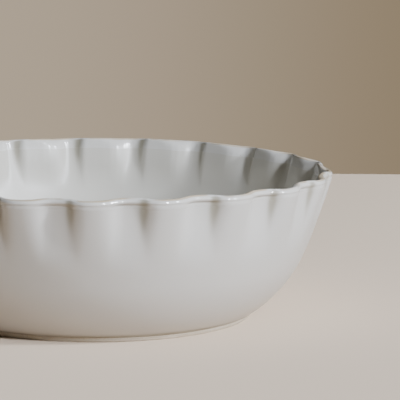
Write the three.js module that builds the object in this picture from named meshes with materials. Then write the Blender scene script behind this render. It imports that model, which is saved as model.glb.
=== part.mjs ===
// A fluted porcelain serving bowl on a turned foot ring, in millimetres.
// +Z is up. The origin is the centre of the foot ring's underside.
// The flutes are ridges in the upper wall: the first one points along -Y and the others follow evenly.
import * as THREE from "three";

// Driving dimensions.
const RIM_RADIUS = 125; // to the outside of the lip on a ridge
const HEIGHT = 77;
const LIP_HEIGHT = 5;
const LIP_SWELL = 0.4; // how far the lip stands out from the glazed wall
const FOOT_HEIGHT = 3; // on the outside, below the belly
const FOOT_TOP_RADIUS = 84.6;
const FOOT_SOLE_OUTER = 82.5;
const FOOT_SOLE_INNER = 77;
const RECESS_RADIUS = 75.5;
const RECESS_HEIGHT = 7; // from the table to the body above the recess
const FLOOR_TOP = 11.5; // the body's floor, under its glaze
const GLAZE = 0.4;
const RIM_BODY_THICKNESS = 3.2;

const FLUTE_COUNT = 21;
const FLUTE_DEPTH = 4;
const FLUTE_FOOT = 44; // the height at which the flutes have faded into the round wall
const RIDGE_HALF = 0.15; // half of a ridge's flat back, as a share of one flute
const HOLLOW_START = 0.35; // where its flank meets the hollow

const WALL_TOP = HEIGHT - LIP_HEIGHT;
const WALL_TOP_RADIUS = RIM_RADIUS - LIP_SWELL - GLAZE;
const BELLY_STEPS = 3;
const WALL_STEPS = 4;

// The two faces of the body, each as two Bezier stretches in a plane through the axis (x is the radius).
const point = (r, z) => new THREE.Vector2(r, z);
const bezier = (a, b, c, d, steps) => new THREE.CubicBezierCurve(a, b, c, d).getPoints(steps);
const joined = (first, second) => [...first, ...second.slice(1)];

function outerBody() {
  const waist = point(109.8, 32);
  const belly = bezier(
    point(FOOT_TOP_RADIUS, FOOT_HEIGHT), point(93.5, 8.6), point(104, 19.5), waist, BELLY_STEPS);
  const wall = bezier(
    waist, point(115.4, 44.5), point(120.3, 59.5), point(WALL_TOP_RADIUS, WALL_TOP), WALL_STEPS);
  return joined(belly, wall);
}

function innerBody() {
  const waist = point(105.6, 33);
  const top = point(WALL_TOP_RADIUS - RIM_BODY_THICKNESS, WALL_TOP);
  const well = bezier(
    point(RECESS_RADIUS, FLOOR_TOP), point(90, FLOOR_TOP), point(99.9, 20.3), waist, BELLY_STEPS);
  const wall = bezier(waist, point(111.2, 45.7), point(116.9, 60), top, WALL_STEPS);
  return joined(well, wall);
}

// Moves a profile sideways by a distance: to its right as it runs upwards, so outwards.
// The two ends stay at their own heights, so that pieces stacked there keep one flat joint.
function offset(profile, distance) {
  return profile.map((p, i) => {
    const before = profile[Math.max(i - 1, 0)];
    const after = profile[Math.min(i + 1, profile.length - 1)];
    const along = after.clone().sub(before).normalize();
    const end = i === 0 || i === profile.length - 1;
    return point(p.x + along.y * distance, end ? p.y : p.y - along.x * distance);
  });
}

// Moves a profile up by a distance where it lies flat and inwards where it stands.
function coated(profile, distance) {
  const moved = offset(profile, -distance);
  moved[0] = point(profile[0].x, profile[0].y + distance);
  return moved;
}

// How deep the flute is at an angle, from 0 on a ridge to 1 in a hollow.
function fluteAt(angle) {
  const turn = (angle / (2 * Math.PI)) * FLUTE_COUNT;
  const away = Math.abs(turn - Math.round(turn));
  return THREE.MathUtils.smoothstep(away, RIDGE_HALF, HOLLOW_START);
}

// The part of the full flute depth that a height has.
function fluteShare(z) {
  return THREE.MathUtils.smoothstep(z, FLUTE_FOOT, HEIGHT);
}

// Four columns to a flute: the two edges of the ridge's back and the two edges of the hollow.
function columnAngles() {
  const stations = [-RIDGE_HALF, RIDGE_HALF, HOLLOW_START, 1 - HOLLOW_START];
  const angles = [];
  for (let flute = 0; flute < FLUTE_COUNT; flute += 1) {
    for (const station of stations) {
      angles.push(((flute + station) / FLUTE_COUNT) * 2 * Math.PI);
    }
  }
  return angles;
}

// Carries a section round the axis. A section is a list of points that runs with the solid on its left,
// anticlockwise with the radius to the right and z up. It starts and ends on the axis, or closes on itself.
function turned(section) {
  const angles = columnAngles();
  const positions = [];
  const isPole = section.map((p) => p.x === 0);
  const first = section.map((p, row) => {
    const start = positions.length / 3;
    for (const angle of isPole[row] ? [0] : angles) {
      const radius = isPole[row] ? 0 : p.x - FLUTE_DEPTH * fluteShare(p.y) * fluteAt(angle);
      positions.push(radius * Math.sin(angle), -radius * Math.cos(angle), p.y);
    }
    return start;
  });
  const at = (row, column) => first[row] + (isPole[row] ? 0 : column % angles.length);
  const closed = !isPole[0];
  const strips = closed ? section.length : section.length - 1;
  const index = [];
  for (let row = 0; row < strips; row += 1) {
    const next = (row + 1) % section.length;
    // One rule for the diagonal, by height, gives two pieces that share a surface the same faces.
    const rises = section[next].y >= section[row].y;
    for (let column = 0; column < angles.length; column += 1) {
      const a = at(row, column);
      const b = at(row, column + 1);
      const c = at(next, column + 1);
      const d = at(next, column);
      const faces = rises ? [[a, b, c], [a, c, d]] : [[a, b, d], [b, c, d]];
      for (const face of faces) {
        if (new Set(face).size === 3) index.push(...face);
      }
    }
  }
  const geometry = new THREE.BufferGeometry();
  geometry.setAttribute("position", new THREE.Float32BufferAttribute(positions, 3));
  geometry.setIndex(index);
  geometry.computeVertexNormals();
  return geometry;
}

const porcelain = new THREE.MeshStandardMaterial({ color: 0xe9e4da, roughness: 0.8, metalness: 0 });
const bareClay = new THREE.MeshStandardMaterial({ color: 0xc2b39d, roughness: 0.85, metalness: 0 });
const glaze = new THREE.MeshStandardMaterial({ color: 0xe6e5e1, roughness: 0.15, metalness: 0 });
const innerGlazeFinish = new THREE.MeshStandardMaterial({ color: 0xe8e8e6, roughness: 0.12, metalness: 0 });
const lipGlaze = new THREE.MeshStandardMaterial({ color: 0xdfd9ce, roughness: 0.18, metalness: 0 });

function piece(name, section, material) {
  const mesh = new THREE.Mesh(turned(section), material);
  mesh.name = name;
  return mesh;
}

// The fired porcelain body: floor, belly and fluted wall, up to the joint with the lip.
function bowlBody() {
  const underside = [point(0, RECESS_HEIGHT), point(RECESS_RADIUS, RECESS_HEIGHT)];
  const floor = point(0, FLOOR_TOP);
  return piece("bowl_body", [...underside, ...outerBody(), ...innerBody().reverse(), floor], porcelain);
}

// The ring that the bowl stands on. Its slanted top meets the body, and its flat sole meets the table.
function footRing() {
  const edge = 0.6; // the sole's rounded-off corners
  const section = [
    point(FOOT_SOLE_INNER, 0),
    point(FOOT_SOLE_OUTER, 0),
    point(FOOT_SOLE_OUTER + edge, edge),
    point(FOOT_TOP_RADIUS, FOOT_HEIGHT),
    point(RECESS_RADIUS, RECESS_HEIGHT),
    point(FOOT_SOLE_INNER - edge, edge),
  ];
  return piece("foot_ring", section, bareClay);
}

// The rounded lip that closes the wall and follows its flutes.
function rimLip() {
  const outside = WALL_TOP_RADIUS + GLAZE;
  const inside = WALL_TOP_RADIUS - RIM_BODY_THICKNESS - GLAZE;
  const crown = (outside + inside) / 2;
  const section = [
    point(inside, WALL_TOP),
    point(outside, WALL_TOP),
    point(RIM_RADIUS, WALL_TOP + 0.45 * LIP_HEIGHT),
    point(crown + 1.2, HEIGHT - 0.7),
    point(crown, HEIGHT),
    point(crown - 1.2, HEIGHT - 0.7),
    point(inside, WALL_TOP + 0.45 * LIP_HEIGHT),
  ];
  return piece("rim_lip", section, lipGlaze);
}

// The glaze on the outside, from the foot ring to the lip.
function outerGlaze() {
  const body = outerBody();
  return piece("outer_glaze", [...offset(body, GLAZE), ...body.reverse()], glaze);
}

// The glaze on the inside, over the floor and up to the lip.
function innerGlaze() {
  const body = innerBody();
  const face = coated(body, GLAZE);
  const section = [point(0, FLOOR_TOP), ...body, ...face.reverse(), point(0, FLOOR_TOP + GLAZE)];
  return piece("inner_glaze", section, innerGlazeFinish);
}

// The disc of glaze in the recess under the bowl.
function undersideGlaze() {
  const section = [
    point(0, RECESS_HEIGHT - GLAZE),
    point(RECESS_RADIUS - 1, RECESS_HEIGHT - GLAZE),
    point(RECESS_RADIUS - 1, RECESS_HEIGHT),
    point(0, RECESS_HEIGHT),
  ];
  return piece("underside_glaze", section, glaze);
}

const bowl = new THREE.Group();
bowl.add(bowlBody(), footRing(), rimLip(), outerGlaze(), innerGlaze(), undersideGlaze());

export default bowl;
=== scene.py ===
"""A hand-fluted porcelain serving bowl, glazed in white, on a bare turned foot ring.

The bowl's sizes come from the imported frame. Each piece is a surface carried round the bowl's axis, and its
upper wall follows the path of the flutes. Lengths inside the classes are in millimetres, and meshes are in
metres. Angles go round the axis from the front towards the right.
"""

import logging
import math
from dataclasses import dataclass
from enum import Enum

import bpy
import numpy as np
from mathutils import Matrix, Vector


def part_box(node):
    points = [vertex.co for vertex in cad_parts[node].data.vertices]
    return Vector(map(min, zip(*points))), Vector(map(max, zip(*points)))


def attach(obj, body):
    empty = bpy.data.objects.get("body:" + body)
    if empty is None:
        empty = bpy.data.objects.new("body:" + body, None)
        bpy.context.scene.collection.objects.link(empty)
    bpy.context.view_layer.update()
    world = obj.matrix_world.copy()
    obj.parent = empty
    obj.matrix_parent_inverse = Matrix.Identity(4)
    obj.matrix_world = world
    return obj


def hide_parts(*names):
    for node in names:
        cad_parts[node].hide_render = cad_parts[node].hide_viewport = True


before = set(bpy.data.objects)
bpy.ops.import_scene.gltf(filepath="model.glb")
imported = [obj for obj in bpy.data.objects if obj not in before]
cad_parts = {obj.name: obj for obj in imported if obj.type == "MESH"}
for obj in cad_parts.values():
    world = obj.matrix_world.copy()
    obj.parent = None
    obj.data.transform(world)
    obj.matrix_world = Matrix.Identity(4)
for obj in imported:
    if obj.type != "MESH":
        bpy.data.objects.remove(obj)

LOG = logging.getLogger("serving_bowl")
METRES = 0.001
MILLIMETRES = 1000.0
FULL_TURN = 2.0 * math.pi
ROOT_BODY = "root"
SHARP_EDGE = math.radians(50)
FRAME_WIDTH = 36.0
DAYLIGHT = "ecf3ff"
LAMPLIGHT = "fff6ea"
# Each curved stretch of a profile is sampled in this many steps before it is evened.
CURVE_STEPS = 60
# Coats that lie on each other keep this gap, in millimetres, so that they never share a face.
COAT_GAP = 0.03
# The glaze in the recess stops this far short of the foot ring, in millimetres.
PATCH_SHORT = 1.0
# The vertex attributes that the glaze reads, which also carry painted shade in the creases and the lip's
# groove, and the first one's value on an evenly coated face.
DEPTH_AND_SHADE_ATTRIBUTE = "glaze_depth_and_shade"
LINE_ATTRIBUTE = "edge_line"
EVEN_COAT = 0.8
# A colour Mix node: its inputs and its output by number, because its three kinds share their names.
MIX_SHARE, MIX_BASE, MIX_OVER, MIX_RESULT = 0, 6, 7, 2
COLOURS = {"data_type": "RGBA", "output": MIX_RESULT}
# A Map Range node that eases in and out, and Math nodes that multiply two inputs and may add the third.
EASED = {"interpolation_type": "SMOOTHSTEP"}
TIMES = {"operation": "MULTIPLY"}
TIMES_PLUS = {"operation": "MULTIPLY_ADD"}


class Face(Enum):
    """The wall's two faces."""

    OUTSIDE = "outside"
    INSIDE = "inside"


def linear_colour(hex_code: str) -> tuple[float, float, float, float]:
    """Turns an sRGB colour into the linear one that shaders take.

    Args:
        hex_code: Six hexadecimal digits, such as "e8e6e1".

    Returns:
        Linear red, green and blue with an alpha of 1.
    """
    channels = [int(hex_code[i : i + 2], 16) / 255.0 for i in (0, 2, 4)]
    linear = [c / 12.92 if c <= 0.04045 else ((c + 0.055) / 1.055) ** 2.4 for c in channels]
    return (linear[0], linear[1], linear[2], 1.0)


def smooth_step(values: np.ndarray, start: float, end: float) -> np.ndarray:
    """Rises from 0 at start to 1 at end, level at both: t squared times (3 - 2 t).

    Args:
        values: Where the curve is read.
        start: The value where it leaves 0.
        end: The value where it reaches 1.

    Returns:
        The curve at each value.
    """
    t = np.clip((np.asarray(values, float) - start) / (end - start), 0.0, 1.0)
    return t * t * (3.0 - 2.0 * t)


def hump(values: np.ndarray, middle: float, width: float) -> np.ndarray:
    """A Gaussian hump, 1 at its middle: e to the power of minus the square of (value - middle) / width.

    Args:
        values: Where the hump is read.
        middle: The value where it is highest.
        width: How far from the middle it has fallen to 1 / e.

    Returns:
        The hump at each value.
    """
    return np.exp(-(((values - middle) / width) ** 2))


def softened(values: np.ndarray, width: float) -> np.ndarray:
    """Blurs a closed row of values by a Gaussian, through its Fourier series.

    Args:
        values: Equally spaced values that go once round the axis.
        width: The Gaussian's standard width, as a share of a full turn.

    Returns:
        The blurred values.
    """
    wave = np.fft.rfft(values)
    order = np.arange(len(wave))
    return np.fft.irfft(wave * np.exp(-0.5 * (order * width * FULL_TURN) ** 2), len(values))


def bezier_points(corners: list[tuple[float, float]], count: int) -> np.ndarray:
    """Samples one cubic Bezier stretch: the corners weighted by (1-t)^3, 3t(1-t)^2, 3t^2(1-t) and t^3.

    Args:
        corners: The four control points as (radius, height).
        count: How many steps the stretch is cut into.

    Returns:
        An array of count + 1 points.
    """
    t = np.linspace(0.0, 1.0, count + 1)[:, None]
    a, b, c, d = (np.array(corner, float) for corner in corners)
    return a * (1 - t) ** 3 + b * 3 * t * (1 - t) ** 2 + c * 3 * t**2 * (1 - t) + d * t**3


def evened(profile: np.ndarray, count: int) -> np.ndarray:
    """Respaces a profile so that its points are equally far apart along it.

    Args:
        profile: Points as (radius, height), in order.
        count: How many points to give back.

    Returns:
        The respaced profile, with the same two ends.
    """
    steps = np.linalg.norm(np.diff(profile, axis=0), axis=1)
    along = np.concatenate([[0.0], np.cumsum(steps)])
    places = np.linspace(0.0, along[-1], count)
    return np.stack([np.interp(places, along, profile[:, i]) for i in (0, 1)], axis=1)


def rounded(corners: list[tuple[float, float]], passes: int = 2, closed: bool = True) -> np.ndarray:
    """Rounds an outline by cutting its corners: each pass puts points a quarter and three quarters along.

    Args:
        corners: The outline's corners as (radius, height).
        passes: How often the corners are cut.
        closed: Whether the last corner joins the first. An open outline keeps its two ends.

    Returns:
        The rounded outline.
    """
    outline = np.array(corners, float)
    for _ in range(passes):
        here, ahead = (outline, np.roll(outline, -1, axis=0)) if closed else (outline[:-1], outline[1:])
        cut = np.stack([0.75 * here + 0.25 * ahead, 0.25 * here + 0.75 * ahead], axis=1).reshape(-1, 2)
        outline = cut if closed else np.concatenate([outline[:1], cut[1:-1], outline[-1:]])
    return outline


def new_mesh(name: str, points: np.ndarray, faces: list[list[int]]) -> bpy.types.Object:
    """Makes a smooth-shaded mesh object at the origin, with its place in its mesh.

    Args:
        name: The piece's name.
        points: Vertices in millimetres, one row each.
        faces: The vertices of each face, anticlockwise from outside.

    Returns:
        The linked object.
    """
    mesh = bpy.data.meshes.new(name)
    mesh.from_pydata((points * METRES).tolist(), [], faces)
    mesh.polygons.foreach_set("use_smooth", np.ones(len(mesh.polygons), bool))
    mesh.set_sharp_from_angle(angle=SHARP_EDGE)
    mesh.update()
    made = bpy.data.objects.new(name, mesh)
    bpy.context.scene.collection.objects.link(made)
    return made


@dataclass(frozen=True)
class Pressing:
    """How one face of the wall takes the flutes.

    Attributes:
        section: One flute, as (place along it, rise towards the crest), with the crest at 1.
        rounding: How far the section's corners are rounded, as a share of one flute.
        depth: From a ridge's crest to a hollow's bottom at the rim, in millimetres.
        reach: How far below the rim the flutes fade into the round wall, in millimetres.
        fade: The power of the fade. A higher power keeps the flutes nearer the rim.
    """

    section: tuple[tuple[float, float], ...]
    rounding: float
    depth: float
    reach: float
    fade: float = 1.0

    def share(self, below: np.ndarray) -> np.ndarray:
        """The part of the full depth at a distance below the rim: a smooth step to the fade's power."""
        return smooth_step(below, self.reach, 0.0) ** self.fade


# A thumb drawn up the outside leaves a broad scoop that ends in a steep flank on its right.
OUTSIDE_PRESSING = Pressing(
    section=(
        (-0.42, 0.01),
        (-0.34, 0.07),
        (-0.26, 0.19),
        (-0.19, 0.39),
        (-0.12, 0.83),
        (-0.05, 0.98),
        (0.04, 1.0),
        (0.16, 0.95),
        (0.26, 0.76),
        (0.36, 0.22),
        (0.47, 0.0),
    ),
    rounding=0.036,
    depth=7.0,
    reach=37.5,
    fade=1.08,
)
# The inside is pinched into a short narrow crease at each steep flank.
INSIDE_PRESSING = Pressing(
    section=(
        (-0.27, 0.24),
        (-0.24, 0.32),
        (-0.19, 0.66),
        (-0.13, 0.87),
        (-0.06, 0.98),
        (0.01, 1.0),
        (0.07, 0.86),
        (0.15, 0.42),
        (0.24, 0.12),
        (0.33, 0.0),
        (0.44, 0.02),
        (0.60, 0.13),
    ),
    rounding=0.014,
    depth=7.0,
    reach=30.0,
    fade=1.1,
)


@dataclass(frozen=True)
class WallCurve:
    """One face of the wall in section: a belly and a wall, each a Bezier stretch, that share a tangent.

    Attributes:
        belly: The two middle control points of the belly, as (radius, height) in millimetres. The first one's
            height counts from the curve's start.
        waist_in: How far inside the rim's radius the two stretches meet.
        waist_height: The height where they meet.
        wall: The two middle control points of the wall.
    """

    belly: tuple[tuple[float, float], tuple[float, float]]
    waist_in: float
    waist_height: float
    wall: tuple[tuple[float, float], tuple[float, float]]

    def points(self, start: tuple[float, float], end: tuple[float, float], rim_radius: float) -> np.ndarray:
        """Samples the curve.

        Args:
            start: Where it starts, at the floor or the foot.
            end: Where it ends, at the lip.
            rim_radius: The radius that the waist is measured from.

        Returns:
            Points as (radius, height), running upwards.
        """
        waist = (rim_radius - self.waist_in, self.waist_height)
        (leaving, rise), arriving = self.belly
        belly = bezier_points([start, (leaving, start[1] + rise), arriving, waist], CURVE_STEPS)
        wall = bezier_points([waist, *self.wall, end], CURVE_STEPS)
        return np.concatenate([belly, wall[1:]])


OUTSIDE_CURVE = WallCurve(
    belly=((93.8, 5.5), (104.4, 19.3)), waist_in=14.8, waist_height=32.0, wall=((115.8, 44.4), (120.7, 59.4))
)
INSIDE_CURVE = WallCurve(
    belly=((89.0, 0.0), (99.5, 20.7)), waist_in=19.8, waist_height=33.4, wall=((110.8, 46.1), (116.5, 60.4))
)


@dataclass(frozen=True)
class Swing:
    """A slow random swing round the bowl: a sum of sines with seeded sizes and starts.

    Attributes:
        spread: The swing's usual size.
        waves: The fastest sine's number of waves in a turn.
        salt: Added to the seed, so that each swing has its own draws.
    """

    spread: float
    waves: int
    salt: int

    def at(self, angle: np.ndarray, seed: int) -> np.ndarray:
        """The swing at each angle, about zero.

        Args:
            angle: Angles round the axis, in radians.
            seed: The start of the random draws.

        Returns:
            One value per angle.
        """
        draw = np.random.default_rng(seed + self.salt)
        order = np.arange(1, self.waves + 1)
        size = draw.normal(0.0, 1.0, self.waves) / np.sqrt(self.waves)
        start = draw.uniform(0.0, FULL_TURN, self.waves)
        waves = size[:, None] * np.sin(order[:, None] * angle[None, :] + start[:, None])
        return self.spread * np.sum(waves, axis=0)


@dataclass(frozen=True)
class Flutes:
    """The hand-pressed flutes in the upper wall.

    Attributes:
        count: How many flutes go round the bowl.
        dip: How much lower the rim runs on a ridge than in a hollow, in millimetres.
        spacing_swing: How unevenly the flutes are spaced, as a share of one flute.
        depth_swing: How unevenly deep they are, as a share of the depth.
        drift: How far the spacing drifts as the hand works round the rim, as a share of one flute.
        drift_from: The angle where the work began, in radians.
        easing: How much shallower the hand pressed on one side, as a share of the depth.
        eased_at: The angle where that side lies, in radians.
        easing_sharpness: How quickly the pressing comes back to its full depth on either side of it.
        seed: The start of the random draws for the hand's unevenness.
    """

    count: int = 21
    dip: float = 0.65
    spacing_swing: Swing = Swing(spread=0.012, waves=3, salt=4)
    depth_swing: Swing = Swing(spread=0.1, waves=12, salt=1)
    drift: float = 0.1
    drift_from: float = math.radians(8.0)
    easing: float = 0.4
    eased_at: float = math.radians(92.0)
    easing_sharpness: float = 8.0
    seed: int = 7

    def strength(self, angle: np.ndarray) -> np.ndarray:
        """How deep the hand pressed at each angle, as a share of the full depth.

        Args:
            angle: Angles round the axis, in radians.

        Returns:
            One share per angle, near 1, and lower round the eased side.
        """
        away = 1.0 - np.cos(angle - self.eased_at)
        eased = self.easing * np.exp(-self.easing_sharpness * away)
        return (1.0 + self.depth_swing.at(angle, self.seed)) * (1.0 - eased)

    def crest(self, angle: np.ndarray, pressing: Pressing) -> np.ndarray:
        """A face's section round the bowl: 1 on a ridge's crest and 0 at a hollow's bottom.

        Straight stretches join the section's points, and a Gaussian as wide as the rounding softens them.

        Args:
            angle: Equally spaced angles that go once round the axis, in radians.
            pressing: The face's pressing.

        Returns:
            The section at each angle.
        """
        wander = angle - self.drift_from
        drift = self.drift * (1.0 - np.cos(2.0 * wander)) * np.cos(wander)
        turn = angle / FULL_TURN * self.count + self.spacing_swing.at(angle, self.seed) - drift
        places, rises = np.array(pressing.section).T
        return softened(np.interp(turn % 1.0, places, rises, period=1.0), pressing.rounding / self.count)


# Where glaze gathers, and the creases are painted darker as shade: how much the flute's depth must fall over
# two columns, in millimetres, the sharpest bend that counts, per millimetre, and how wide the pool and its
# painted shade are, as a share of one flute.
STEEP_DROP = (0.1, 0.8)
SHARPEST_BEND = 0.1
CREASE_WIDTH = 0.035


@dataclass
class BowlForm:
    """The bowl's sizes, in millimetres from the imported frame, and the surfaces that they give.

    Attributes:
        rim_radius: To the outside of the lip on a ridge.
        height: From the table to the top of the lip.
        wall_top: The height where the wall ends and the lip begins.
        foot_radius: To the outside of the foot ring.
        foot_inner: To the inside of the foot ring.
        foot_height: The height of the foot ring's outside.
        recess_height: From the table to the body above the recess.
        floor_top: The top of the body's floor, under its glaze.
        glaze: The thickness of the glaze.
        rim_thickness: The glazed wall's thickness where the lip begins.
        columns: How many columns the surfaces have round the axis.
        lip_blend: Where above the wall's top the path goes over to the lip's calmer one.
        lip_share: The share of the outside flutes' depth that the lip follows.
        lip_rounding: How far the lip rounds the flutes' corners, as a share of one flute.
        inner_blend: Where above the wall's top, or below it if negative, the inside's flutes grow calmer.
        inner_calm: The share of their depth that they lose there.
        rim_swing: How unevenly high the rim runs, in millimetres.
        round_swing: How far the rim is from round, in millimetres.
    """

    rim_radius: float
    height: float
    wall_top: float
    foot_radius: float
    foot_inner: float
    recess_height: float
    floor_top: float
    foot_height: float = 3.0
    glaze: float = 0.4
    rim_thickness: float = 3.8
    columns: int = 1260
    lip_blend: tuple[float, float] = (1.6, 3.0)
    lip_share: float = 0.8
    lip_rounding: float = 0.05
    inner_blend: tuple[float, float] = (-10.0, 3.0)
    inner_calm: float = 0.2
    rim_swing: Swing = Swing(spread=0.25, waves=8, salt=2)
    round_swing: Swing = Swing(spread=0.2, waves=6, salt=3)

    def __post_init__(self) -> None:
        """Works out the tables round the axis that every surface shares."""
        self.flutes = flutes = Flutes()
        self.angles = np.arange(self.columns) / self.columns * FULL_TURN
        self.ridge = flutes.crest(self.angles, OUTSIDE_PRESSING)
        inner_ridge = flutes.crest(self.angles, INSIDE_PRESSING)
        strength = flutes.strength(self.angles)
        self.outer_hollow = strength * OUTSIDE_PRESSING.depth * (1.0 - self.ridge)
        self.inner_hollow = strength * INSIDE_PRESSING.depth * (1.0 - inner_ridge)
        self.lip_hollow = self.lip_share * softened(self.outer_hollow, self.lip_rounding / flutes.count)
        self.rim_lift = self.rim_swing.at(self.angles, flutes.seed) - flutes.dip * self.ridge
        self.roundness = self.round_swing.at(self.angles, flutes.seed)

    @classmethod
    def from_frame(cls) -> "BowlForm":
        """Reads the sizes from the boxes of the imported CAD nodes."""
        lip_low, lip_high = cls.node_box("rim_lip")
        _, foot_high = cls.node_box("foot_ring")
        _, patch_high = cls.node_box("underside_glaze")
        inner_low, _ = cls.node_box("inner_glaze")
        return cls(
            rim_radius=round(-lip_low[1], 1),
            height=round(lip_high[2], 1),
            wall_top=round(lip_low[2], 1),
            foot_radius=round(foot_high[0], 1),
            foot_inner=round(patch_high[0] + PATCH_SHORT, 1),
            recess_height=round(foot_high[2], 1),
            floor_top=round(inner_low[2], 1),
        )

    @staticmethod
    def node_box(node: str) -> tuple[np.ndarray, np.ndarray]:
        """The lowest and highest corner of a CAD node, in millimetres."""
        low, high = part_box(node)
        return np.array(low) * MILLIMETRES, np.array(high) * MILLIMETRES

    @property
    def rim_inner(self) -> float:
        """The radius of the glazed wall's inside where the lip begins, on a ridge."""
        return self.rim_radius - self.glaze - self.rim_thickness

    @property
    def floor_edge(self) -> float:
        """The radius where the flat floor ends."""
        return self.foot_inner - 1.5

    def outer_profile(self) -> np.ndarray:
        """The outside of the glaze, from the foot ring to the lip."""
        start = (self.foot_radius + 0.35, self.foot_height)
        return OUTSIDE_CURVE.points(start, (self.rim_radius - self.glaze, self.wall_top), self.rim_radius)

    def inner_profile(self) -> np.ndarray:
        """The inside of the glaze, from the floor's edge to the lip."""
        start = (self.floor_edge, self.floor_top + self.glaze)
        return INSIDE_CURVE.points(start, (self.rim_inner, self.wall_top), self.rim_radius)

    def middle_radius(self, height: np.ndarray) -> np.ndarray:
        """The radius of the middle of the wall at a height."""
        profiles = (self.outer_profile(), self.inner_profile())
        return 0.5 * sum(np.interp(height, profile[:, 1], profile[:, 0]) for profile in profiles)

    def placed(self, section: np.ndarray) -> np.ndarray:
        """Carries a section round the axis along the flutes' path.

        The path is the wall's middle radius less the flute's depth. A point of the section stands off the
        path along the path's own normal in plan, so the wall keeps its thickness on the flutes' flanks. The
        outside's pressing shapes the path of the outer points, and the inside's that of the inner ones.

        Args:
            section: Points as (radius, height), where the radius is the one on a ridge.

        Returns:
            An array of rows by columns by 3.
        """
        radius, height = section[:, :1], section[:, 1:]
        below = self.height - height
        middle = self.middle_radius(height)
        off = radius - middle
        outside = smooth_step(off, -1.5, 1.5)
        lip, calm = (
            smooth_step(height, self.wall_top + start, self.wall_top + end)
            for start, end in (self.lip_blend, self.inner_blend)
        )
        outer_hollow = (1.0 - lip) * self.outer_hollow + lip * self.lip_hollow
        inner_hollow = (1.0 - self.inner_calm * calm) * self.inner_hollow
        pressed = outside * OUTSIDE_PRESSING.share(below) * outer_hollow
        pressed = pressed + (1.0 - outside) * INSIDE_PRESSING.share(below) * inner_hollow
        rim_share = OUTSIDE_PRESSING.share(below)
        path = middle - pressed + rim_share * self.roundness
        spacing = FULL_TURN / self.columns
        slope = (np.roll(path, -1, axis=1) - np.roll(path, 1, axis=1)) / (2.0 * spacing) / path
        lean = 1.0 / np.sqrt(1.0 + slope**2)
        outwards = path + off * lean
        sideways = -off * slope * lean
        sine, cosine = np.sin(self.angles), np.cos(self.angles)
        lift = rim_share**2 * self.rim_lift
        return np.stack(
            [outwards * sine + sideways * cosine, sideways * sine - outwards * cosine, height + lift], axis=2
        )

    def crease(self, face: Face) -> np.ndarray:
        """How sharply the wall creases at each column, along the steep flanks, where glaze gathers.

        It is the bend of the rim in plan, where the rim is hollow to that face. On the outside that is at the
        foot of the steep flank, and on the inside at its top. The glaze there is painted darker as shade as
        well as pooled.

        Args:
            face: The face that the glaze lies on.

        Returns:
            One row with a value per column, from 0 upwards, in units per millimetre.
        """
        outside = face is Face.OUTSIDE
        hollow = self.outer_hollow if outside else self.inner_hollow
        spacing = self.rim_radius * FULL_TURN / self.columns
        before, after = np.roll(hollow, 1), np.roll(hollow, -1)
        bend = (before - 2.0 * hollow + after) / spacing**2
        steep = smooth_step(before - after, *STEEP_DROP)
        sharp = steep * np.clip(-bend if outside else bend, 0.0, SHARPEST_BEND)
        return softened(sharp, CREASE_WIDTH / self.flutes.count)[None, :]


Socket = bpy.types.NodeSocket
# What feeds a node's inputs, by the input's name or number: another node's output, or a constant.
Links = dict[str | int, Socket]
Values = dict[str | int, float | str | tuple[float, ...]]


class NodeTree:
    """A node tree, with one helper that adds a node, its settings and its links."""

    def __init__(self, tree: bpy.types.NodeTree) -> None:
        """Empties the tree.

        Args:
            tree: The tree of a material or a world.
        """
        self.tree = tree
        tree.nodes.clear()

    def add(
        self,
        kind: str,
        links: Links | None = None,
        values: Values | None = None,
        output: str | int = 0,
        **settings: str,
    ) -> Socket | None:
        """Adds one node.

        Args:
            kind: The node's type without its "ShaderNode" prefix.
            links: Input name or number to the output that feeds it.
            values: Input name or number to the constant that it holds. A string is a colour's hex code.
            output: The name or number of the output to give back.
            **settings: The node's own properties.

        Returns:
            That output, or nothing from a node that has none.
        """
        node = self.tree.nodes.new("ShaderNode" + kind)
        for key, value in settings.items():
            setattr(node, key, value)
        for key, value in (values or {}).items():
            node.inputs[key].default_value = linear_colour(value) if isinstance(value, str) else value
        for key, socket in (links or {}).items():
            self.tree.links.new(socket, node.inputs[key])
        return node.outputs[output] if node.outputs else None


class Shader(NodeTree):
    """A material and its node tree."""

    def __init__(self, name: str) -> None:
        """Makes an empty material.

        Args:
            name: The material's name.
        """
        self.material = bpy.data.materials.new(name)
        self.material.use_nodes = True
        super().__init__(self.material.node_tree)

    def finish(self, links: Links, values: Values, height: Socket, depth: float) -> bpy.types.Material:
        """Closes the tree with a Principled surface and its relief.

        Args:
            links: Principled input to the output that feeds it.
            values: Principled input to its constant.
            height: The relief that bends the normal.
            depth: The relief's full depth, in metres.

        Returns:
            The finished material.
        """
        relief = self.add("Bump", {"Height": height}, {"Strength": 1.0, "Distance": depth})
        surface = self.add("BsdfPrincipled", {**links, "Normal": relief}, values)
        self.add("OutputMaterial", {"Surface": surface})
        return self.material


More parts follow.
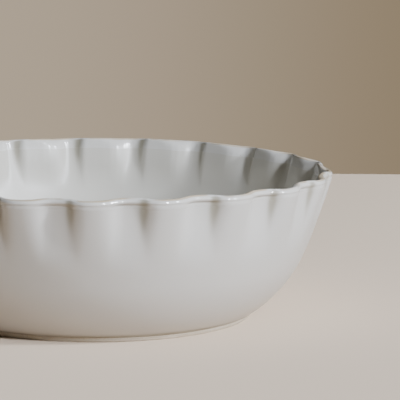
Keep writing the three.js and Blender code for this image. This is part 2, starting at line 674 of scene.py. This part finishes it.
@dataclass(frozen=True)
class ClearGlaze:
    """A transparent feldspathic glaze over white porcelain.

    To the eye it gives a cool white that is deeper where the glaze has pooled and painted darker as shade in
    the flutes' creases and in the lip's groove, a soft sheen on the wall with a faint orange peel, sharp
    highlights on the fire-polished rim, and now and then an iron speck.

    Attributes:
        name: The material's name.
        white: The glaze over the body.
        cloud: The slightly greyer white of the clouds in it.
        pooled_and_shade: Thick glaze in the hollows' corners and above the foot, and painted shade in those
            corners.
        thin: The glaze where it has run thin over an edge and the body's warmth shows.
        line: The brown of iron that gathers in a narrow gap, also laid in the lip's groove as painted shade.
        roughness: The roughness of the wall, where 0 is a mirror.
        rim_roughness: The roughness of the rim.
        rim_from: The heights, in metres, between which the wall's roughness goes over to the rim's.
        peel: The full depth of the orange peel, in metres.
    """

    name: str
    white: str = "e6e4df"
    cloud: str = "dedcd5"
    pooled_and_shade: str = "b4afa0"
    thin: str = "d0bfa4"
    line: str = "a3927c"
    roughness: float = 0.33
    rim_roughness: float = 0.06
    rim_from: tuple[float, float] = (0.070, 0.0752)
    peel: float = 0.000012

    def material(self) -> bpy.types.Material:
        """Mixes the colours by the piece's own attributes and by noise, and adds the orange peel."""
        shader = Shader(self.name)
        add = shader.add
        place = add("TexCoord", output="Object")
        depth = add("Attribute", attribute_name=DEPTH_AND_SHADE_ATTRIBUTE, output="Fac")
        edge = add("Attribute", attribute_name=LINE_ATTRIBUTE, output="Fac")
        # The clouds are about 45 mm across.
        clouds = add("TexNoise", {"Vector": place}, {"Scale": 22.0})
        clouds = add("Math", {0: clouds}, {1: 0.35, 2: -0.05}, **TIMES_PLUS)
        colour = add("Mix", {MIX_SHARE: clouds}, {MIX_BASE: self.white, MIX_OVER: self.cloud}, **COLOURS)
        # The thick glaze's colour is also painted shade in the flutes' creases.
        pooled_and_shade_share = add("MapRange", {"Value": depth}, {"From Min": EVEN_COAT, "From Max": 2.0}, **EASED)
        colour = add("Mix", {MIX_SHARE: pooled_and_shade_share, MIX_BASE: colour}, {MIX_OVER: self.pooled_and_shade}, **COLOURS)
        # The thin glaze comes and goes along the rim, about every 20 mm.
        thin = add("MapRange", {"Value": depth}, {"From Min": 0.45, "From Max": 0.05}, **EASED)
        patches = add("TexNoise", {"Vector": place}, {"Scale": 45.0, "Detail": 3.0})
        patches = add("MapRange", {"Value": patches}, {"From Min": 0.3, "From Max": 0.6}, **EASED)
        thin = add("Math", {0: thin, 1: patches}, **TIMES)
        colour = add("Mix", {MIX_SHARE: thin, MIX_BASE: colour}, {MIX_OVER: self.thin}, **COLOURS)
        # The iron line, and the painted shade in the lip's groove, are broken about every 10 mm.
        breaks = add("TexNoise", {"Vector": place}, {"Scale": 95.0, "Detail": 3.0})
        breaks = add("MapRange", {"Value": breaks}, {"From Min": 0.35, "From Max": 0.62}, **EASED)
        line = add("Math", {0: breaks, 1: edge}, **TIMES)
        colour = add("Mix", {MIX_SHARE: line, MIX_BASE: colour}, {MIX_OVER: self.line}, **COLOURS)
        # Iron specks are at most 0.7 mm across and several centimetres apart.
        cells = add("TexVoronoi", {"Vector": place}, {"Scale": 55.0}, output="Distance")
        speck = add("MapRange", {"Value": cells}, {"From Min": 0.022, "From Max": 0.012}, **EASED)
        speck = add("Math", {0: speck}, {1: 0.5}, **TIMES)
        colour = add("Mix", {MIX_SHARE: speck, MIX_BASE: colour}, {MIX_OVER: self.line}, **COLOURS)
        # The sheen wavers a little over 17 mm.
        height = add("SeparateXYZ", {0: place}, output="Z")
        start, end = self.rim_from
        rim = add("MapRange", {"Value": height}, {"From Min": start, "From Max": end}, **EASED)
        sheen = {1: self.rim_roughness - self.roughness, 2: self.roughness}
        sheen = add("Math", {0: rim}, sheen, **TIMES_PLUS)
        waver = add("TexNoise", {"Vector": place}, {"Scale": 60.0})
        sheen = add("Math", {0: waver, 2: sheen}, {1: 0.06}, **TIMES_PLUS)
        # The orange peel is about 3 mm from crest to crest, over slower waves of 14 mm.
        peel = add("TexNoise", {"Vector": place}, {"Scale": 330.0})
        waves = add("TexNoise", {"Vector": place}, {"Scale": 70.0})
        relief = add("Math", {0: waves, 2: peel}, {1: 5.0}, **TIMES_PLUS)
        return shader.finish(
            {"Base Color": colour, "Roughness": sheen},
            {"IOR": 1.5, "Specular IOR Level": 0.5, "Coat Weight": 0.0},
            relief,
            self.peel,
        )


@dataclass(frozen=True)
class FiredPorcelain:
    """Dense white porcelain under the glaze. To the eye it is matt, close-grained and slightly warm.

    Attributes:
        name: The material's name.
        body: Its colour.
        grain: The darker colour of its grain.
        roughness: Its roughness, where 0 is a mirror.
        relief: The grain's full depth, in metres.
    """

    name: str
    body: str = "e2ddd3"
    grain: str = "cfc7b8"
    roughness: float = 0.75
    relief: float = 0.00004

    def material(self) -> bpy.types.Material:
        """Mixes the two colours by a fine grain, and makes the grain the relief."""
        shader = Shader(self.name)
        place = shader.add("TexCoord", output="Object")
        # The real grain is below 0.1 mm. It is drawn at 0.7 mm so that a render can hold it.
        grain = shader.add("TexNoise", {"Vector": place}, {"Scale": 1400.0, "Detail": 3.0})
        dark = shader.add("MapRange", {"Value": grain}, {"From Min": 0.4, "From Max": 0.75}, **EASED)
        colour = shader.add("Mix", {MIX_SHARE: dark}, {MIX_BASE: self.body, MIX_OVER: self.grain}, **COLOURS)
        values = {"Roughness": self.roughness, "IOR": 1.5}
        return shader.finish({"Base Color": colour}, values, grain, self.relief)


@dataclass(frozen=True)
class BareFootClay:
    """The unglazed clay of the foot ring, toasted in the kiln.

    To the eye it is a matt sandy beige with duller patches, fine turning rings and darker grains of sand.

    Attributes:
        name: The material's name.
        clay: Its main colour.
        toasted: The darker colour of the rings and the grains.
        dull: The colour of its patches.
        roughness: Its roughness, where 0 is a mirror.
        relief: The full depth of its rings and grains, in metres.
    """

    name: str
    clay: str = "eae2d3"
    toasted: str = "c8bca3"
    dull: str = "e4dac8"
    roughness: float = 0.85
    relief: float = 0.00012

    def material(self) -> bpy.types.Material:
        """Mixes the three colours by noise and lays turning rings and sand grains over them as relief."""
        shader = Shader(self.name)
        add = shader.add
        place = add("TexCoord", output="Object")
        # The patches are about 25 mm across.
        patches = add("TexNoise", {"Vector": place}, {"Scale": 40.0, "Detail": 3.0})
        patches = add("MapRange", {"Value": patches}, {"From Min": 0.42, "From Max": 0.68}, **EASED)
        colour = add("Mix", {MIX_SHARE: patches}, {MIX_BASE: self.clay, MIX_OVER: self.dull}, **COLOURS)
        # A turning ring is about 0.5 mm high, so the noise is squashed in height and drawn out round it.
        squashed = add("Mapping", {"Vector": place}, {"Scale": (1.0, 1.0, 160.0)})
        rings = add("TexNoise", {"Vector": squashed}, {"Scale": 12.0})
        dark = add("MapRange", {"Value": rings}, {"From Min": 0.5, "From Max": 0.72}, **EASED)
        colour = add("Mix", {MIX_SHARE: dark, MIX_BASE: colour}, {MIX_OVER: self.toasted}, **COLOURS)
        # Sand grains are about 0.4 mm. They are drawn at 0.8 mm so that a render can hold them.
        sand = add("TexNoise", {"Vector": place}, {"Scale": 1200.0, "Detail": 4.0, "Roughness": 0.7})
        dark = add("MapRange", {"Value": sand}, {"From Min": 0.52, "From Max": 0.7}, **EASED)
        dark = add("Math", {0: dark}, {1: 0.6}, **TIMES)
        colour = add("Mix", {MIX_SHARE: dark, MIX_BASE: colour}, {MIX_OVER: self.toasted}, **COLOURS)
        relief = add("Math", {0: rings, 2: sand}, {1: 2.0}, **TIMES_PLUS)
        values = {"Roughness": self.roughness, "IOR": 1.5}
        return shader.finish({"Base Color": colour}, values, relief, self.relief)


@dataclass(frozen=True)
class StudioFloor:
    """A plain pale matt floor.

    Attributes:
        name: The material's name.
        pale: Its colour.
    """

    name: str
    pale: str = "dbc9b4"

    def material(self) -> bpy.types.Material:
        """One plain colour from above. From below it is clear, so that the bowl's underside can be seen."""
        shader = Shader(self.name)
        cloth = shader.add("BsdfDiffuse", values={"Color": self.pale, "Roughness": 0.9})
        below = shader.add("NewGeometry", output="Backfacing")
        clear = shader.add("BsdfTransparent")
        shader.add("OutputMaterial", {"Surface": shader.add("MixShader", {0: below, 1: cloth, 2: clear})})
        return shader.material


@dataclass
class Swept:
    """A closed piece made of one section carried round the bowl's axis.

    Attributes:
        form: The bowl's form.
    """

    form: BowlForm

    def sweep(self, name: str, section: np.ndarray) -> bpy.types.Object:
        """Builds the closed piece that a section sweeps out.

        The section runs anticlockwise, with the radius to the right and the height up. It closes on itself,
        or it starts and ends on the axis, where each end becomes one vertex.

        Args:
            name: The piece's name.
            section: Points as (radius, height).

        Returns:
            The linked object.
        """
        on_axis = bool(section[0, 0] == 0.0)
        rows = section[1:-1] if on_axis else section
        grid = self.form.placed(rows)
        count, columns = grid.shape[:2]
        points = grid.reshape(-1, 3)
        here = np.arange(count * columns).reshape(count, columns)
        beside = np.roll(here, -1, axis=1)
        last = count - 1 if on_axis else count
        above, above_beside = np.roll(here, -1, axis=0)[:last], np.roll(beside, -1, axis=0)[:last]
        faces = np.stack([here[:last], beside[:last], above_beside, above], axis=2).reshape(-1, 4).tolist()
        if on_axis:
            poles = np.array([[0.0, 0.0, section[0, 1]], [0.0, 0.0, section[-1, 1]]])
            first_pole, last_pole = len(points), len(points) + 1
            points = np.concatenate([points, poles])
            start = np.stack([np.full(columns, first_pole), beside[0], here[0]], axis=1)
            end = np.stack([np.full(columns, last_pole), here[-1], beside[-1]], axis=1)
            faces += start.tolist() + end.tolist()
        return new_mesh(name, points, faces)

    def mark(self, piece: bpy.types.Object, name: str, values: np.ndarray) -> None:
        """Stores one number per vertex, for the piece's material to read.

        Args:
            piece: A piece that sweep made.
            name: The attribute's name.
            values: Numbers by section point, without the points on the axis, and by column.
        """
        rows = len(piece.data.vertices) // self.form.columns
        spread = np.broadcast_to(values, (rows, self.form.columns)).ravel()
        poles = np.full(len(piece.data.vertices) - len(spread), spread[0])
        attribute = piece.data.attributes.new(name, "FLOAT", "POINT")
        attribute.data.foreach_set("value", np.concatenate([spread, poles]).astype(np.float32))

    @staticmethod
    def dress(piece: bpy.types.Object, material: bpy.types.Material, node: str, slot: str) -> None:
        """Gives a piece its material and ties it to the frame.

        Args:
            piece: The piece.
            material: Its finish.
            node: The CAD node that it stands for.
            slot: The material slot that it takes its finish from. It is not used.
        """
        piece.data.materials.append(material)
        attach(piece, ROOT_BODY)
        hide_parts(node)
        LOG.info("%s: %d faces for %s", piece.name, len(piece.data.polygons), node)


@dataclass
class PorcelainBody(Swept):
    """The fired porcelain inside its glaze: the floor, the belly and the fluted wall.

    Attributes:
        finish: The bare porcelain.
        rows: How many points each face's profile has.
    """

    finish: FiredPorcelain
    rows: int = 26

    def section(self) -> np.ndarray:
        """The underside of the floor, the outside up to the lip, and the inside back down to the floor."""
        form = self.form
        floor = form.floor_top - COAT_GAP
        outside = evened(form.outer_profile(), self.rows)
        outside[:, 0] -= form.glaze + COAT_GAP
        inside = evened(form.inner_profile(), self.rows)
        inside[:, 0] += form.glaze + COAT_GAP
        inside[0] = (form.floor_edge, floor)
        below = np.array([[0.0, form.recess_height], [form.foot_inner, form.recess_height]])
        return np.concatenate([below, outside, inside[::-1], [[0.0, floor]]])

    def build(self) -> None:
        """Builds and dresses the body."""
        piece = self.sweep("porcelain_body", self.section())
        self.dress(piece, self.finish.material(), "bowl_body", "porcelain")


@dataclass
class TurnedFoot(Swept):
    """The foot ring that the bowl stands on, turned and left bare.

    Attributes:
        finish: The bare clay.
    """

    finish: BareFootClay

    def build(self) -> None:
        """Builds and dresses the ring: a flat sole with worn edges, under walls that lean out to the body."""
        form = self.form
        inner, outer, top = form.foot_inner, form.foot_radius, form.foot_height
        sole = [(inner + 1.5, 0.0), (inner + 2.2, 0.0), (outer - 2.9, 0.0), (outer - 2.1, 0.0)]
        worn = [(outer - 1.5, 0.55), (outer - 0.8, 1.6)]
        outside = [(outer - 0.35, top - 0.1), (outer - 0.6, top + 0.6)]
        inside = [(inner, form.recess_height - 0.05), (inner + 0.9, 0.6)]
        piece = self.sweep("turned_foot", rounded([*sole, *worn, *outside, *inside]))
        self.dress(piece, self.finish.material(), "foot_ring", "bare_clay")


@dataclass
class RolledLip(Swept):
    """The rounded lip that closes the wall. It stands proud of the wall over a fine groove.

    Attributes:
        finish: The glaze on the lip.
        groove_up: How far the groove is above the wall's top, in millimetres.
        groove_width: How wide the brown line and painted shade in it are, in millimetres.
        line_and_shade: The line's average strength, and how much stronger it is on the left as painted shade.
        thinning: Where below the lip's top the glaze runs thin, in millimetres.
        pool_and_shade: How strongly the glaze pools in a crease and is painted darker there as shade.
    """

    finish: ClearGlaze
    groove_up: float = 2.6
    groove_width: float = 0.3
    line_and_shade: tuple[float, float] = (0.2, 0.18)
    thinning: tuple[float, float] = (0.45, 0.05)
    pool_and_shade: float = 15.0

    def section(self) -> np.ndarray:
        """The wall's last stretch, the roll with its groove, and the inside, which runs on from the wall."""
        form = self.form
        inner, outer, top, neck = form.rim_inner, form.rim_radius, form.height, form.wall_top
        start = [(outer - form.glaze, neck), (outer - 0.1, neck + 1.0)]
        groove = [(outer + 0.06, neck + 2.2), (outer + 0.08, neck + 2.75), (outer + 0.28, neck + 3.3)]
        roll = [
            (outer + 0.4, top - 1.4),
            (outer - 0.08, top - 0.25),
            (outer - 0.8, top + 0.35),
            (outer - 1.6, top + 0.5),
            (inner + 1.9, top + 0.1),
            (inner + 1.25, top - 1.2),
        ]
        end = [(inner + 0.72, neck + 2.0), (inner, neck)]
        return rounded([*start, *groove, *roll, *end], closed=False)

    def build(self) -> None:
        """Builds the lip, marks the groove's brown line and painted shade, and the back where the glaze runs
        thin.
        """
        form = self.form
        section = self.section()
        piece = self.sweep("rolled_lip", section)
        radius, height = section[:, :1], section[:, 1:]
        average, left = self.line_and_shade
        # The groove's brown line is partly painted shade under the lip, darker on the left, away from the
        # window.
        groove = hump(height, form.wall_top + self.groove_up, self.groove_width)
        groove = groove * (radius > form.rim_radius - 1.5) * (average - left * np.sin(form.angles))
        start, end = self.thinning
        back = smooth_step(height, form.height - start, form.height - end)
        outside = smooth_step(radius, form.rim_radius - 3.0, form.rim_radius - 1.5)
        # In the flutes' creases the glaze is painted darker as shade as well as pooled.
        crease = outside * form.crease(Face.OUTSIDE) + (1.0 - outside) * form.crease(Face.INSIDE)
        self.mark(piece, LINE_ATTRIBUTE, groove)
        self.mark(piece, DEPTH_AND_SHADE_ATTRIBUTE, EVEN_COAT - 0.7 * back + self.pool_and_shade * crease)
        self.dress(piece, self.finish.material(), "rim_lip", "lip_glaze")


@dataclass
class OuterGlaze(Swept):
    """The coat of glaze on the outside, from a rolled edge above the foot ring up to the lip.

    Attributes:
        finish: The glaze.
        rows: How many points the coat's face and its underside have.
        bead: How far the coat swells above its lower edge, in millimetres.
        bead_size: How far above the foot ring the swelling is, and how wide, in millimetres.
        pool_and_shade: How strongly the glaze pools in a crease and is painted darker there as shade.
        foot_pool: How much thicker it runs at the foot ring, and over what height in millimetres.
    """

    finish: ClearGlaze
    rows: tuple[int, int] = (58, 14)
    bead: float = 0.22
    bead_size: float = 0.9
    pool_and_shade: float = 20.0
    foot_pool: tuple[float, float] = (0.9, 1.6)

    def section(self) -> np.ndarray:
        """The coat's outside going up and its underside coming down, with a bead at its lower edge."""
        form = self.form
        foot, bottom = form.foot_radius, form.foot_height
        outside, under = (evened(form.outer_profile(), count) for count in self.rows)
        outside[:, 0] += self.bead * hump(outside[:, 1], bottom + self.bead_size, self.bead_size)
        under[:, 0] -= form.glaze
        edge = np.array([[foot, bottom - 0.25], [foot + 0.3, bottom - 0.2]])
        return np.concatenate([edge, outside, under[::-1]])

    def build(self) -> None:
        """Builds the coat, and marks where it pools above the foot and, with painted shade, in the flutes'
        corners.
        """
        form = self.form
        section = self.section()
        piece = self.sweep("outer_glaze_coat", section)
        height = section[:, 1:]
        # In the flutes' creases the glaze is painted darker as shade as well as pooled.
        pool_and_shade = self.pool_and_shade * OUTSIDE_PRESSING.share(form.height - height) ** 2 * form.crease(Face.OUTSIDE)
        more, over = self.foot_pool
        foot = more * hump(height, form.foot_height, over)
        self.mark(piece, DEPTH_AND_SHADE_ATTRIBUTE, EVEN_COAT + pool_and_shade + foot)
        self.mark(piece, LINE_ATTRIBUTE, 0.7 * hump(height, form.foot_height - 0.1, 0.35))
        self.dress(piece, self.finish.material(), "outer_glaze", "outer_glaze")


@dataclass
class InnerGlaze(Swept):
    """The coat of glaze on the inside, over the floor and up to the lip.

    Attributes:
        finish: The glaze.
        rows: How many points the coat's underside, its face on the wall and its face on the floor have.
        pool_and_shade: How strongly the glaze pools in a crease and is painted darker there as shade.
        well_pool: How much thicker it runs round the floor, how far out from the foot's inside, and over what
            width, in millimetres.
    """

    finish: ClearGlaze
    rows: tuple[int, int, int] = (12, 54, 9)
    pool_and_shade: float = 20.0
    well_pool: tuple[float, float, float] = (0.5, 4.0, 7.0)

    def section(self) -> np.ndarray:
        """The coat's underside going out and up, and its face coming back down to the middle of the floor."""
        form = self.form
        floor, low = form.floor_top, form.floor_top + form.glaze
        below, wall, flat = self.rows
        under = evened(form.inner_profile(), below)
        under[:, 0] += form.glaze
        under[0] = (form.floor_edge, floor)
        face = evened(form.inner_profile(), wall)[::-1]
        across = np.stack([np.linspace(form.floor_edge, 0.0, flat + 1)[1:], np.full(flat, low)], axis=1)
        return np.concatenate([[[0.0, floor]], under, face, across])

    def build(self) -> None:
        """Builds the coat, and marks where it pools round the floor and, with painted shade, in the flutes'
        corners.
        """
        form = self.form
        section = self.section()
        piece = self.sweep("inner_glaze_coat", section)
        radius, height = section[1:-1, :1], section[1:-1, 1:]
        # In the flutes' creases the glaze is painted darker as shade as well as pooled.
        pool_and_shade = self.pool_and_shade * INSIDE_PRESSING.share(form.height - height) ** 2 * form.crease(Face.INSIDE)
        more, out, over = self.well_pool
        well = more * hump(radius, form.foot_inner + out, over) * (height < 20.0)
        self.mark(piece, DEPTH_AND_SHADE_ATTRIBUTE, EVEN_COAT + pool_and_shade + well)
        self.mark(piece, LINE_ATTRIBUTE, np.zeros((1, 1)))
        self.dress(piece, self.finish.material(), "inner_glaze", "inner_glaze")


@dataclass
class UndersideGlaze(Swept):
    """The patch of glaze in the recess inside the foot ring.

    Attributes:
        finish: The glaze.
        rows: How many points lie between the middle and the edge.
    """

    finish: ClearGlaze
    rows: int = 16

    def build(self) -> None:
        """Builds the patch, with a thin rolled edge that stops just short of the ring."""
        form = self.form
        edge, top = form.foot_inner - PATCH_SHORT, form.recess_height
        low = top - form.glaze
        across = np.stack([np.linspace(0.0, edge - 1.2, self.rows), np.full(self.rows, low)], axis=1)
        rim = np.array([[edge - 0.5, low + 0.02], [edge - 0.1, low + 0.14], [edge, top]])
        section = np.concatenate([across, rim, [[0.0, top]]])
        piece = self.sweep("underside_glaze_patch", section)
        radius = section[1:-1, :1]
        self.mark(piece, DEPTH_AND_SHADE_ATTRIBUTE, EVEN_COAT + 0.8 * smooth_step(radius, edge - 9.0, edge - 2.0))
        self.mark(piece, LINE_ATTRIBUTE, 0.6 * smooth_step(radius, edge - 1.0, edge))
        self.dress(piece, self.finish.material(), "underside_glaze", "outer_glaze")


@dataclass(frozen=True)
class SoftLamp:
    """A rectangular studio lamp that the camera doesn't see.

    Attributes:
        name: The lamp's name.
        place: Where it stands, in metres.
        size: Its width and height, in metres.
        power: Its power, in watts.
        colour: Its colour.
        target: The point that it faces.
    """

    name: str
    place: tuple[float, float, float]
    size: tuple[float, float]
    power: float
    colour: str = "ffffff"
    target: tuple[float, float, float] = (0.0, 0.0, 0.04)

    def light(self) -> None:
        """Hangs the lamp and turns it to its target."""
        lamp = bpy.data.lights.new(self.name, "AREA")
        lamp.shape, lamp.size, lamp.size_y = "RECTANGLE", *self.size
        lamp.energy = self.power
        lamp.color = linear_colour(self.colour)[:3]
        hung = bpy.data.objects.new(self.name, lamp)
        hung.location = self.place
        hung.rotation_euler = (Vector(self.target) - Vector(self.place)).to_track_quat("-Z", "Y").to_euler()
        hung.visible_camera = False
        bpy.context.scene.collection.objects.link(hung)


@dataclass(frozen=True)
class Studio:
    """A pale table in a warm plain room, with one large soft window on the right.

    Attributes:
        lamps: The lamps.
        table_half: Half of the table's width and half of its depth, in metres.
        room: The colour of the wall behind, on the left.
        room_far: Its colour on the right, where it falls into shade.
        room_seen: The wall's brightness.
        room_seen_turn: Where it goes over from one colour to the other, by the view's X direction.
        room_bounce: The colour of the light that the room gives back.
        room_light: The strength of that light on the left and on the right.
        room_light_turn: Where it goes over from one to the other, by the light's X direction.
    """

    lamps: tuple[SoftLamp, ...]
    table_half: tuple[float, float] = (0.72, 0.54)
    room: str = "bfae99"
    room_far: str = "94836a"
    room_seen: float = 1.0
    room_seen_turn: tuple[float, float] = (-0.08, 0.14)
    room_bounce: str = "d2c3a4"
    room_light: tuple[float, float] = (0.0, 0.5)
    room_light_turn: tuple[float, float] = (-0.25, 0.9)

    def build(self) -> None:
        """Lays the table, paints the room and hangs the lamps."""
        corners = np.array([(-1.0, -1.0, 0.0), (1.0, -1.0, 0.0), (1.0, 1.0, 0.0), (-1.0, 1.0, 0.0)])
        edge = corners * (*self.table_half, 0.0) * MILLIMETRES
        table = new_mesh("table", edge, [[0, 1, 2, 3]])
        table.data.materials.append(StudioFloor("table_cloth").material())
        world = bpy.data.worlds.new("room")
        bpy.context.scene.world = world
        world.use_nodes = True
        self.paint_room(NodeTree(world.node_tree))
        for lamp in self.lamps:
            lamp.light()

    def paint_room(self, room: NodeTree) -> None:
        """Shows a plain wall colour, and lights the bowl by a dimmer sky that brightens towards the window.

        Args:
            room: The world's node tree.
        """
        add = room.add
        across = add("SeparateXYZ", {0: add("TexCoord", output="Generated")}, output="X")
        start, end = self.room_seen_turn
        shade = add("MapRange", {"Value": across}, {"From Min": start, "From Max": end}, **EASED)
        wall = add("Mix", {MIX_SHARE: shade}, {MIX_BASE: self.room, MIX_OVER: self.room_far}, **COLOURS)
        seen = add("Background", {"Color": wall}, {"Strength": self.room_seen})
        start, end = self.room_light_turn
        left, right = self.room_light
        ends = {"From Min": start, "From Max": end, "To Min": left, "To Max": right}
        strength = add("MapRange", {"Value": across}, ends, **EASED)
        bounce = add("Background", {"Strength": strength}, {"Color": self.room_bounce})
        mix = add("MixShader", {0: add("LightPath", output="Is Camera Ray"), 1: bounce, 2: seen})
        add("OutputWorld", {"Surface": mix})


@dataclass(frozen=True)
class Viewpoint:
    """Where the camera stands and how it is turned.

    Attributes:
        azimuth, elevation: The direction from the bowl to the camera, in degrees.
        distance: From the aim to the camera, in metres.
        aim: The height on the bowl's axis that the camera first faces, in metres.
        lens: The focal length, in millimetres, on a frame of the usual width.
        pan, tilt, roll: How the camera is then turned about its own upright, sideways and viewing axes, in
            degrees.
    """

    azimuth: float
    elevation: float
    distance: float
    aim: float
    lens: float
    pan: float
    tilt: float
    roll: float

    def place(self) -> None:
        """Makes the scene's camera."""
        turn, rise = math.radians(self.azimuth), math.radians(self.elevation)
        back = Vector((math.sin(turn) * math.cos(rise), -math.cos(turn) * math.cos(rise), math.sin(rise)))
        data = bpy.data.cameras.new("camera")
        data.lens, data.sensor_width = self.lens, FRAME_WIDTH
        camera = bpy.data.objects.new("camera", data)
        facing = (-back).to_track_quat("-Z", "Y").to_matrix()
        turned = (
            Matrix.Rotation(math.radians(self.pan), 3, "Y")
            @ Matrix.Rotation(math.radians(self.tilt), 3, "X")
            @ Matrix.Rotation(math.radians(self.roll), 3, "Z")
        )
        stand = Vector((0.0, 0.0, self.aim)) + back * self.distance
        camera.matrix_world = Matrix.Translation(stand) @ (facing @ turned).to_4x4()
        bpy.context.scene.collection.objects.link(camera)
        bpy.context.scene.camera = camera


def main() -> None:
    """Builds the bowl from the foot up, then the studio and the camera, and notes the sizes."""
    logging.basicConfig(level=logging.INFO)
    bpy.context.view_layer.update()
    form = BowlForm.from_frame()
    LOG.info("rim radius %.1f mm, height %.1f mm", form.rim_radius, form.height)
    TurnedFoot(form, BareFootClay("bare_foot_clay")).build()
    PorcelainBody(form, FiredPorcelain("fired_porcelain")).build()
    OuterGlaze(form, ClearGlaze("outside_clear_glaze")).build()
    # The inside's glaze is a darker, warmer copy of the outside's, which paints the warm shade inside the
    # bowl.
    InnerGlaze(form, ClearGlaze("inside_clear_glaze_painted_shade", white="dad7ce", cloud="d5d1c7")).build()
    UndersideGlaze(form, ClearGlaze("underside_clear_glaze")).build()
    RolledLip(form, ClearGlaze("lip_clear_glaze")).build()
    Studio(
        lamps=(
            SoftLamp("window", (2.1, -1.6, 1.4), (2.3, 1.9), 32.5, DAYLIGHT),
            SoftLamp("right_pane", (2.4, -1.1, 1.5), (0.22, 0.42), 74.0, DAYLIGHT),
            SoftLamp("left_pane", (1.6, -2.1, 1.5), (0.22, 0.42), 62.0, DAYLIGHT),
            SoftLamp("back_fill", (0.3, 2.6, 1.8), (2.4, 1.6), 18.0, LAMPLIGHT),
        )
    ).build()
    Viewpoint(
        azimuth=1.4,
        elevation=9.39,
        distance=1.256,
        aim=0.0384,
        lens=214.1,
        pan=-2.553,
        tilt=0.940,
        roll=0.189,
    ).place()


if __name__ == "__main__":
    main()
